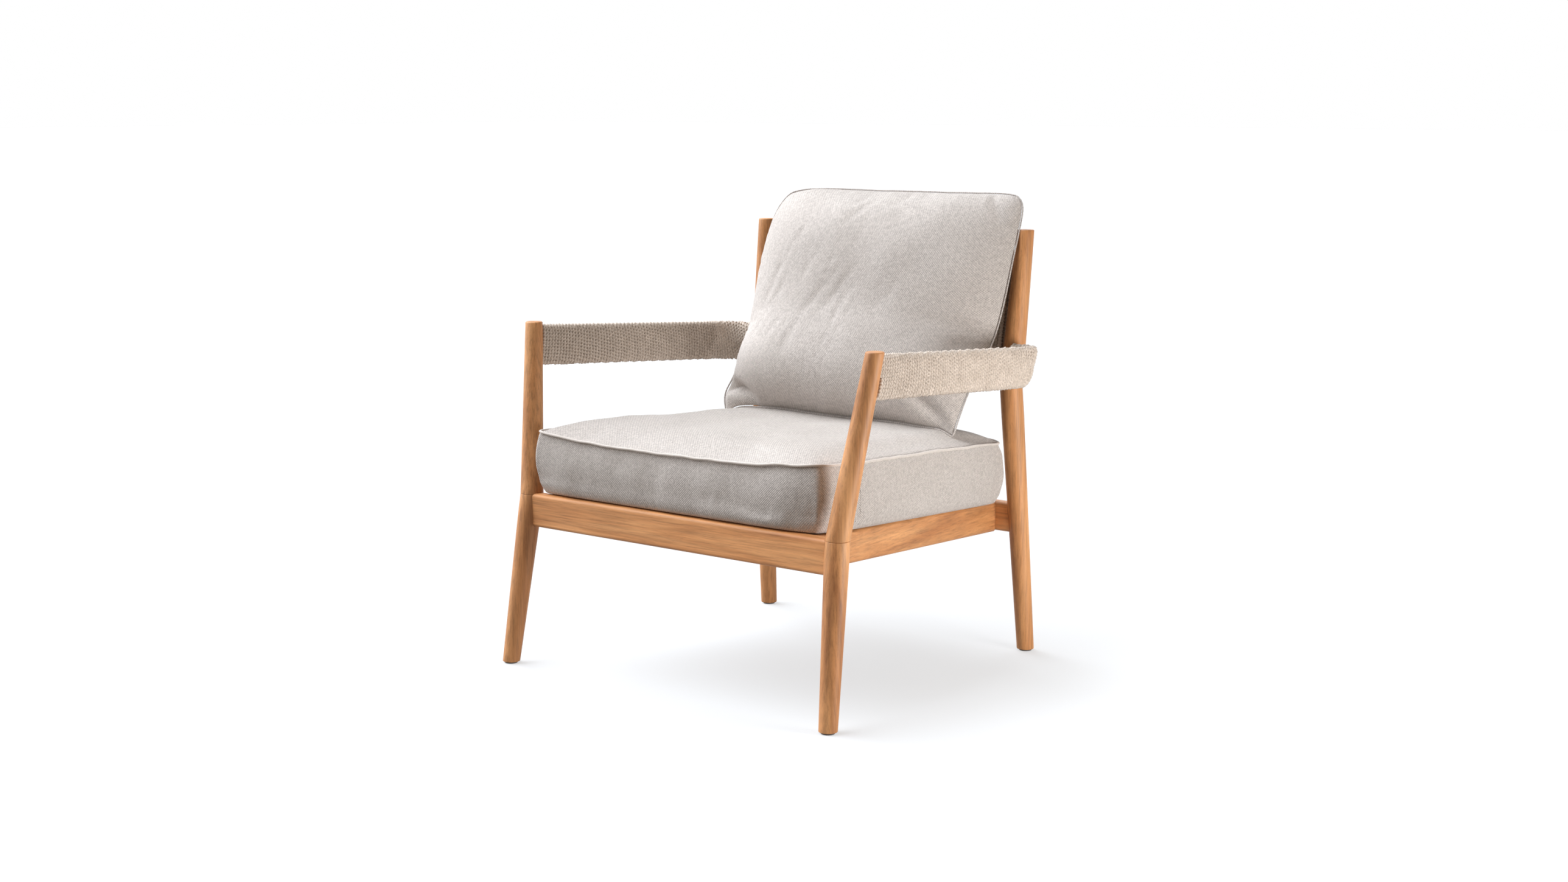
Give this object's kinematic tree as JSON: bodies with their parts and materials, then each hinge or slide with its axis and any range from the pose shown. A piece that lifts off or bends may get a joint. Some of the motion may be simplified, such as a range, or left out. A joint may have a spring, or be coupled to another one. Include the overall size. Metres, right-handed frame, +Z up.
{
  "type": "armchair",
  "caption": "Low wooden lounge armchair with round kneed legs, rope-wound arms, a rope back and loose seat and back cushions.",
  "frame": {"origin": "on the floor, under the middle of the chair's bounding box", "axes": "+Z up; the chair faces -Y; +X is to the right of a viewer who looks along +Y at its front; symmetric about X = 0"},
  "size_m": [0.7744, 0.6738, 0.8059],
  "materials": {
    "teak": "oiled, fine straight grain",
    "inner_wood": "planed, unfinished",
    "steel": "bright zinc",
    "bar_metal": "mill finish",
    "nylon": "moulded nylon",
    "rope": "twisted outdoor rope, matt",
    "cover_fabric": "woven, matt, light warm grey",
    "piping_fabric": "woven piping, matt",
    "foam": "open-cell foam"
  },
  "bodies": {
    "frame": {"front_leg_right": "teak", "front_leg_left": "teak", "front_post_right": "teak", "front_post_left": "teak", "rear_leg_right": "teak", "rear_leg_left": "teak", "rear_post_right": "teak", "rear_post_left": "teak", "front_rail": "teak", "rear_rail": "teak", "side_rail_right": "teak", "side_rail_left": "teak", "back_lower_rail": "teak", "back_top_rail": "teak", "front_knee_dowel_right": "inner_wood", "front_knee_dowel_left": "inner_wood", "rear_knee_dowel_right": "inner_wood", "rear_knee_dowel_left": "inner_wood", "cleat_right": "inner_wood", "cleat_left": "inner_wood", "corner_block_front_right": "inner_wood", "corner_block_front_left": "inner_wood", "corner_block_rear_right": "inner_wood", "corner_block_rear_left": "inner_wood", "seat_slat_1": "inner_wood", "seat_slat_2": "inner_wood", "seat_slat_3": "inner_wood", "seat_slat_4": "inner_wood", "seat_slat_5": "inner_wood", "seat_slat_6": "inner_wood", "cleat_screw_1_right": "steel", "cleat_screw_1_left": "steel", "cleat_screw_2_right": "steel", "cleat_screw_2_left": "steel", "cleat_screw_3_right": "steel", "cleat_screw_3_left": "steel", "arm_screw_1_right": "steel", "arm_screw_1_left": "steel", "arm_screw_2_right": "steel", "arm_screw_2_left": "steel", "arm_core_right": "bar_metal", "arm_core_left": "bar_metal", "front_foot_glide_right": "nylon", "front_foot_glide_left": "nylon", "rear_foot_glide_right": "nylon", "rear_foot_glide_left": "nylon", "back_rope_front": "rope", "back_rope_rear": "rope", "arm_winding_right": "rope", "arm_winding_left": "rope"},
    "seat_cushion": {"seat_cushion_cover": "cover_fabric", "seat_cushion_foam": "foam", "seat_cushion_piping": "piping_fabric"},
    "back_cushion": {"back_cushion_cover": "cover_fabric", "back_cushion_filling": "foam"}
  },
  "joints": [
    {"name": "seat_cushion_lift", "type": "slide", "parent": "frame", "child": "seat_cushion", "axis": [0, 0, 1], "range_m": [0, 0.08]},
    {"name": "back_cushion_lift", "type": "slide", "parent": "seat_cushion", "child": "back_cushion", "axis": [0, 0.2873, 0.9578], "range_m": [0, 0.15]}
  ]
}
